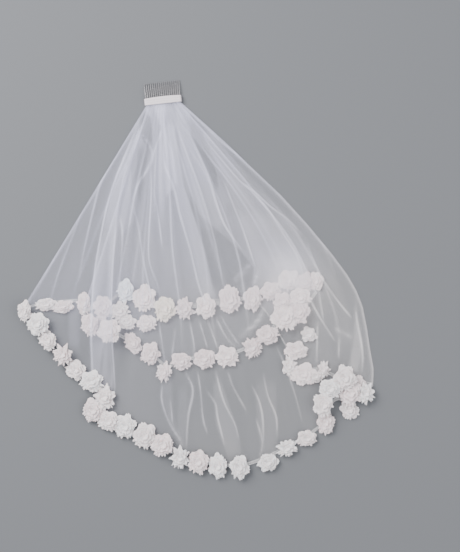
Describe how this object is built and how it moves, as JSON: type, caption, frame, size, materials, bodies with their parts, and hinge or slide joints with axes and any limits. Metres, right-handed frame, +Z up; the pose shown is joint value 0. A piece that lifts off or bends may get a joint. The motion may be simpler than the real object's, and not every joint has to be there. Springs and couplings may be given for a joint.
{
  "type": "bridal veil",
  "caption": "Two-tier bridal veil of soft net gathered into a hair comb, laid flat with pleats, its hems edged with fabric flowers.",
  "frame": {"origin": "the point of the surface it lies on below the middle of its box", "axes": "+Z up from the surface, +Y from the hem towards the comb, +X to the right seen from above with the comb away from the viewer"},
  "size_m": [0.7463, 0.8321, 0.0405],
  "materials": {
    "net": "fine soft net, sheer",
    "tape": "narrow sheer net tape",
    "flowers": "matt chiffon",
    "ribbon": "satin ribbon",
    "comb": "smooth clear plastic"
  },
  "bodies": {
    "root": {"binding": "ribbon", "comb": "comb", "flower_long_back_01": "flowers", "flower_long_back_02": "flowers", "flower_long_back_03": "flowers", "flower_long_back_04": "flowers", "flower_long_back_05": "flowers", "flower_long_back_06": "flowers", "flower_long_back_07": "flowers", "flower_long_back_08": "flowers", "flower_long_back_09": "flowers", "flower_long_back_10": "flowers", "flower_long_back_11": "flowers", "flower_long_back_12": "flowers", "flower_long_back_13": "flowers", "flower_long_back_14": "flowers", "flower_long_back_15": "flowers", "flower_long_back_16": "flowers", "flower_long_back_17": "flowers", "flower_long_back_18": "flowers", "flower_long_back_19": "flowers", "flower_long_back_20": "flowers", "flower_long_back_21": "flowers", "flower_long_back_22": "flowers", "flower_long_back_23": "flowers", "flower_long_back_24": "flowers", "flower_long_back_25": "flowers", "flower_long_back_26": "flowers", "flower_long_front_01": "flowers", "flower_long_front_02": "flowers", "flower_long_front_03": "flowers", "flower_long_front_04": "flowers", "flower_long_front_05": "flowers", "flower_short_back_01": "flowers", "flower_short_back_02": "flowers", "flower_short_back_03": "flowers", "flower_short_back_04": "flowers", "flower_short_back_05": "flowers", "flower_short_back_06": "flowers", "flower_short_back_07": "flowers", "flower_short_back_08": "flowers", "flower_short_back_09": "flowers", "flower_short_back_10": "flowers", "flower_short_back_11": "flowers", "flower_short_front_01": "flowers", "flower_short_front_02": "flowers", "flower_short_front_03": "flowers", "flower_short_front_04": "flowers", "flower_short_front_05": "flowers", "flower_short_front_06": "flowers", "flower_short_front_07": "flowers", "flower_short_front_08": "flowers", "flower_short_front_09": "flowers", "long_back_tape": "tape", "long_front_tape": "tape", "long_tier": "net", "short_back_tape": "tape", "short_front_tape": "tape", "short_tier": "net"}
  },
  "joints": []
}
